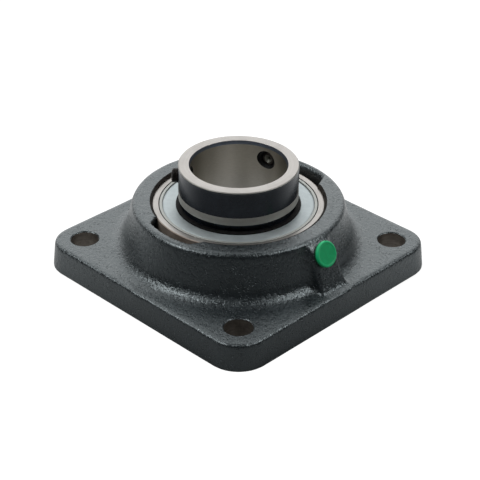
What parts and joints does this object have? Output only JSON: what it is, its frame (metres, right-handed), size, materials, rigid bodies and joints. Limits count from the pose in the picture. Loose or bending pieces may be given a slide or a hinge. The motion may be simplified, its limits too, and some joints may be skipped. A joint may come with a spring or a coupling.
{
  "type": "square flange bearing",
  "caption": "Square cast flange bearing: housing with a spherical seat, sealed wide inner ring ball insert, set screws and a plugged grease hole.",
  "frame": {"origin": "centre of the mounting face, on the shaft bore's axis", "axes": "+Z along the shaft bore towards the set screw end, +X towards the grease plug, +Y so that the frame is right handed; the square flange's sides are parallel to X and Y"},
  "size_m": [0.1936, 0.1936, 0.0775],
  "materials": {
    "housing_paint": "semi-gloss charcoal paint over sand casting",
    "ground_steel": "ground bearing steel",
    "ring_steel": "ground bearing steel, black oxide on the outside of the long end",
    "ball_steel": "polished bearing steel",
    "cage_steel": "pressed steel sheet",
    "washer_zinc": "zinc plated sheet steel",
    "seal_rubber": "matt black nitrile rubber",
    "screw_black": "black oxide on alloy steel",
    "plug_green": "moulded green plastic"
  },
  "bodies": {
    "housing": {"housing": "housing_paint"},
    "plug": {"grease_plug": "plug_green"},
    "outer": {"outer_ring": "ground_steel", "seal_front_washer": "washer_zinc", "seal_front_lip": "seal_rubber", "seal_front_backing": "washer_zinc", "seal_rear_washer": "washer_zinc", "seal_rear_lip": "seal_rubber", "seal_rear_backing": "washer_zinc"},
    "inner": {"inner_ring": "ring_steel"},
    "cage": {"cage_front": "cage_steel", "cage_rear": "cage_steel", "cage_rivets": "cage_steel"},
    "screw_1": {"set_screw_1": "screw_black"},
    "screw_2": {"set_screw_2": "screw_black"},
    "ball_1": {"ball_01": "ball_steel"},
    "ball_2": {"ball_02": "ball_steel"},
    "ball_3": {"ball_03": "ball_steel"},
    "ball_4": {"ball_04": "ball_steel"},
    "ball_5": {"ball_05": "ball_steel"},
    "ball_6": {"ball_06": "ball_steel"},
    "ball_7": {"ball_07": "ball_steel"},
    "ball_8": {"ball_08": "ball_steel"},
    "ball_9": {"ball_09": "ball_steel"},
    "ball_10": {"ball_10": "ball_steel"}
  },
  "joints": [
    {"name": "insert_tilt", "type": "hinge", "parent": "housing", "child": "outer", "pos_m": [0, 0, 0.0346], "axis": [0, 1, 0], "range_deg": [-5, 5]},
    {"name": "ring_spin", "type": "hinge", "parent": "outer", "child": "inner", "pos_m": [0, 0, 0.0346], "axis": [0, 0, 1], "continuous": true},
    {"name": "cage_spin", "type": "hinge", "parent": "outer", "child": "cage", "pos_m": [0, 0, 0.0346], "axis": [0, 0, 1], "continuous": true},
    {"name": "screw_1_drive", "type": "slide", "parent": "inner", "child": "screw_1", "axis": [-0.7771, -0.6293, 0], "range_m": [0, 0.012]},
    {"name": "screw_2_drive", "type": "slide", "parent": "inner", "child": "screw_2", "axis": [-0.1564, 0.9877, 0], "range_m": [-0.0015, 0.011]},
    {"name": "plug_pull", "type": "slide", "parent": "housing", "child": "plug", "axis": [0.9062, 0, 0.4229], "range_m": [0, 0.02]},
    {"name": "ball_1_roll", "type": "hinge", "parent": "cage", "child": "ball_1", "pos_m": [0.04625, 0, 0.0346], "axis": [0, 0, 1], "continuous": true},
    {"name": "ball_2_roll", "type": "hinge", "parent": "cage", "child": "ball_2", "pos_m": [0.03742, 0.02719, 0.0346], "axis": [0, 0, 1], "continuous": true},
    {"name": "ball_3_roll", "type": "hinge", "parent": "cage", "child": "ball_3", "pos_m": [0.01429, 0.04399, 0.0346], "axis": [0, 0, 1], "continuous": true},
    {"name": "ball_4_roll", "type": "hinge", "parent": "cage", "child": "ball_4", "pos_m": [-0.01429, 0.04399, 0.0346], "axis": [0, 0, 1], "continuous": true},
    {"name": "ball_5_roll", "type": "hinge", "parent": "cage", "child": "ball_5", "pos_m": [-0.03742, 0.02719, 0.0346], "axis": [0, 0, 1], "continuous": true},
    {"name": "ball_6_roll", "type": "hinge", "parent": "cage", "child": "ball_6", "pos_m": [-0.04625, 0, 0.0346], "axis": [0, 0, 1], "continuous": true},
    {"name": "ball_7_roll", "type": "hinge", "parent": "cage", "child": "ball_7", "pos_m": [-0.03742, -0.02719, 0.0346], "axis": [0, 0, 1], "continuous": true},
    {"name": "ball_8_roll", "type": "hinge", "parent": "cage", "child": "ball_8", "pos_m": [-0.01429, -0.04399, 0.0346], "axis": [0, 0, 1], "continuous": true},
    {"name": "ball_9_roll", "type": "hinge", "parent": "cage", "child": "ball_9", "pos_m": [0.01429, -0.04399, 0.0346], "axis": [0, 0, 1], "continuous": true},
    {"name": "ball_10_roll", "type": "hinge", "parent": "cage", "child": "ball_10", "pos_m": [0.03742, -0.02719, 0.0346], "axis": [0, 0, 1], "continuous": true}
  ],
  "couplings": [
    {"joint": "cage_spin", "follows": "ring_spin", "ratio": 0.4099},
    {"joint": "ball_1_roll", "follows": "ring_spin", "ratio": -2.6852},
    {"joint": "ball_2_roll", "follows": "ring_spin", "ratio": -2.6852},
    {"joint": "ball_3_roll", "follows": "ring_spin", "ratio": -2.6852},
    {"joint": "ball_4_roll", "follows": "ring_spin", "ratio": -2.6852},
    {"joint": "ball_5_roll", "follows": "ring_spin", "ratio": -2.6852},
    {"joint": "ball_6_roll", "follows": "ring_spin", "ratio": -2.6852},
    {"joint": "ball_7_roll", "follows": "ring_spin", "ratio": -2.6852},
    {"joint": "ball_8_roll", "follows": "ring_spin", "ratio": -2.6852},
    {"joint": "ball_9_roll", "follows": "ring_spin", "ratio": -2.6852},
    {"joint": "ball_10_roll", "follows": "ring_spin", "ratio": -2.6852}
  ]
}
